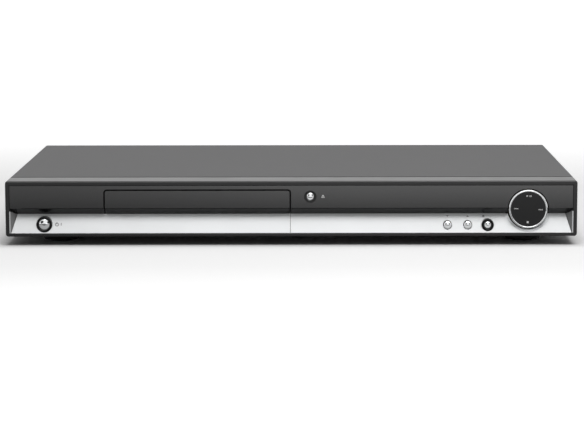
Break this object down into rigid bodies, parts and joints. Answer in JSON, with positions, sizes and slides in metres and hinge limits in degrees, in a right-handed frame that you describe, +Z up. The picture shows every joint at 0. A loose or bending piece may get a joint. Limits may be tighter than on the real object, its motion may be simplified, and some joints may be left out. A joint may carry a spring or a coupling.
{
  "type": "dvd recorder",
  "caption": "Slim full-width disc recorder: folded steel case, smoked front with silver lower slope, sliding disc tray with its loader, chrome push buttons and a round four-way dial.",
  "frame": {"origin": "under the middle of the recorder's box, on the surface it stands on", "axes": "+X to the right of someone facing the front, +Y to the back, +Z up"},
  "size_m": [0.43, 0.27, 0.049],
  "materials": {
    "cover_paint": "satin, fine texture",
    "zinc_steel": "zinc-plated sheet",
    "bezel_black": "smooth moulding, light sheen",
    "panel_smoke": "smooth smoked panel",
    "silver_paint": "satin silver lacquer",
    "chrome_plate": "bright plating",
    "ring_black": "gloss",
    "dial_black": "fine satin",
    "foot_black": "moulded",
    "foot_rubber": "matt",
    "loader_black": "moulded",
    "tray_black": "fine satin",
    "gear_white": "acetal",
    "belt_rubber": "matt",
    "ground_steel": "ground and polished",
    "motor_can": "drawn can",
    "bridge_steel": "zinc-plated sheet",
    "lens_glass": "clear",
    "board_green": "solder mask",
    "board_tan": "bare laminate",
    "chip_black": "moulded package",
    "sink_black": "black anodised",
    "ferrite": "sintered core with taped winding",
    "can_sleeve": "sleeved can",
    "tin_plate": "tin-plated can",
    "jack_black": "moulded",
    "gold_plate": "thin gold plating",
    "switch_dark": "moulded",
    "screw_zinc": "zinc plated",
    "display_glass": "dark tube glass"
  },
  "bodies": {
    "case": {"top_cover": "cover_paint", "bottom_chassis": "zinc_steel", "rear_panel": "zinc_steel", "front_bezel": "bezel_black", "front_lens": "panel_smoke", "lower_trim_left": "silver_paint", "lower_trim_right": "silver_paint", "feet": "foot_black", "foot_pads": "foot_rubber", "case_screws": "screw_zinc", "power_ring": "ring_black", "record_ring": "ring_black", "dial_bracket": "loader_black", "tact_switches": "switch_dark", "front_boards": "board_tan", "display_module": "display_glass", "drive_frame": "loader_black", "clamp_bridge": "bridge_steel", "loading_motor": "motor_can", "drive_belt": "belt_rubber", "main_board": "board_green", "power_board": "board_tan", "inner_screws": "screw_zinc", "main_chip": "chip_black", "heat_sink": "sink_black", "transformer": "ferrite", "capacitors": "can_sleeve", "tuner_can": "tin_plate", "antenna_sockets": "tin_plate", "jack_blocks": "jack_black", "jack_barrels": "gold_plate", "svideo_socket": "jack_black", "optical_socket": "jack_black", "mains_inlet": "jack_black", "inlet_pins": "gold_plate", "fan_frame": "loader_black"},
    "tray": {"disc_tray": "tray_black", "tray_door": "panel_smoke"},
    "loading_gear": {"drive_gear": "gear_white"},
    "loading_pulley": {"pulley_gear": "gear_white"},
    "loading_motor_pulley": {"motor_pulley": "gear_white"},
    "cam": {"cam_slider": "gear_white"},
    "deck": {"traverse_deck": "loader_black", "spindle_motor": "motor_can", "guide_rods": "ground_steel", "sled_motor": "motor_can"},
    "spindle": {"turntable": "tray_black"},
    "pickup": {"pickup_sled": "loader_black", "pickup_lens": "lens_glass"},
    "feed_screw": {"lead_screw": "ground_steel"},
    "clamp": {"clamp_puck": "gear_white"},
    "fan": {"fan_rotor": "loader_black"},
    "power": {"power_button": "chrome_plate"},
    "eject": {"eject_button": "chrome_plate"},
    "program_down": {"program_down_button": "chrome_plate"},
    "program_up": {"program_up_button": "chrome_plate"},
    "record": {"record_button": "chrome_plate"},
    "dial_cross": {"dial_gimbal": "gear_white"},
    "dial": {"dial_pad": "dial_black", "dial_ring": "chrome_plate"}
  },
  "joints": [
    {"name": "tray_slide", "type": "slide", "parent": "case", "child": "tray", "axis": [0, -1, 0], "range_m": [0, 0.142]},
    {"name": "loading_gear_turn", "type": "hinge", "parent": "case", "child": "loading_gear", "pos_m": [-0.03165, -0.1005, 0.025], "axis": [0, 0, -1], "range_deg": [0, 1017.5]},
    {"name": "loading_pulley_turn", "type": "hinge", "parent": "case", "child": "loading_pulley", "pos_m": [-0.05165, -0.1005, 0.025], "axis": [0, 0, 1], "range_deg": [0, 2615.64]},
    {"name": "loading_motor_turn", "type": "hinge", "parent": "case", "child": "loading_motor_pulley", "pos_m": [-0.10065, -0.1005, 0.0285], "axis": [0, 0, 1], "range_deg": [0, 8717.64]},
    {"name": "deck_lift", "type": "hinge", "parent": "case", "child": "deck", "pos_m": [-0.07065, 0.044, 0.0215], "axis": [1, 0, 0], "range_deg": [0, 2.72]},
    {"name": "cam_slide", "type": "slide", "parent": "case", "child": "cam", "axis": [1, 0, 0], "range_m": [0, 0.018]},
    {"name": "turntable_spin", "type": "hinge", "parent": "deck", "child": "spindle", "pos_m": [-0.07065, -0.054, 0.034], "axis": [0, 0, 1], "continuous": true},
    {"name": "pickup_slide", "type": "slide", "parent": "deck", "child": "pickup", "axis": [0, 1, 0], "range_m": [0, 0.034]},
    {"name": "feed_screw_turn", "type": "hinge", "parent": "deck", "child": "feed_screw", "pos_m": [-0.03615, -0.013, 0.0256], "axis": [0, 1, 0], "range_deg": [0, 4080.5]},
    {"name": "clamp_spin", "type": "hinge", "parent": "case", "child": "clamp", "pos_m": [-0.07065, -0.054, 0.04], "axis": [0, 0, 1], "continuous": true},
    {"name": "fan_spin", "type": "hinge", "parent": "case", "child": "fan", "pos_m": [-0.105, 0.12, 0.028], "axis": [0, 1, 0], "continuous": true},
    {"name": "power_push", "type": "slide", "parent": "case", "child": "power", "axis": [0, 1, 0], "range_m": [0, 0.0008], "stiffness_N_per_m": 300},
    {"name": "eject_push", "type": "slide", "parent": "case", "child": "eject", "axis": [0, 1, 0], "range_m": [0, 0.0008], "stiffness_N_per_m": 300},
    {"name": "program_down_push", "type": "slide", "parent": "case", "child": "program_down", "axis": [0, 1, 0], "range_m": [0, 0.0008], "stiffness_N_per_m": 300},
    {"name": "program_up_push", "type": "slide", "parent": "case", "child": "program_up", "axis": [0, 1, 0], "range_m": [0, 0.0008], "stiffness_N_per_m": 300},
    {"name": "record_push", "type": "slide", "parent": "case", "child": "record", "axis": [0, 1, 0], "range_m": [0, 0.0008], "stiffness_N_per_m": 300},
    {"name": "dial_up_down", "type": "hinge", "parent": "case", "child": "dial_cross", "pos_m": [0.1781, -0.1175, 0.0275], "axis": [1, 0, 0], "range_deg": [-2, 2], "stiffness_Nm_per_rad": 0.4},
    {"name": "dial_left_right", "type": "hinge", "parent": "dial_cross", "child": "dial", "pos_m": [0.1781, -0.1175, 0.0275], "axis": [0, 0, 1], "range_deg": [-2, 2], "stiffness_Nm_per_rad": 0.4}
  ],
  "couplings": [
    {"joint": "loading_gear_turn", "follows": "tray_slide", "rad_per_m": 125},
    {"joint": "loading_pulley_turn", "follows": "tray_slide", "rad_per_m": 321.43},
    {"joint": "loading_motor_turn", "follows": "tray_slide", "rad_per_m": 1071.4},
    {"joint": "cam_slide", "follows": "deck_lift", "m_per_rad": 0.37905},
    {"joint": "feed_screw_turn", "follows": "pickup_slide", "rad_per_m": 2094.4}
  ]
}
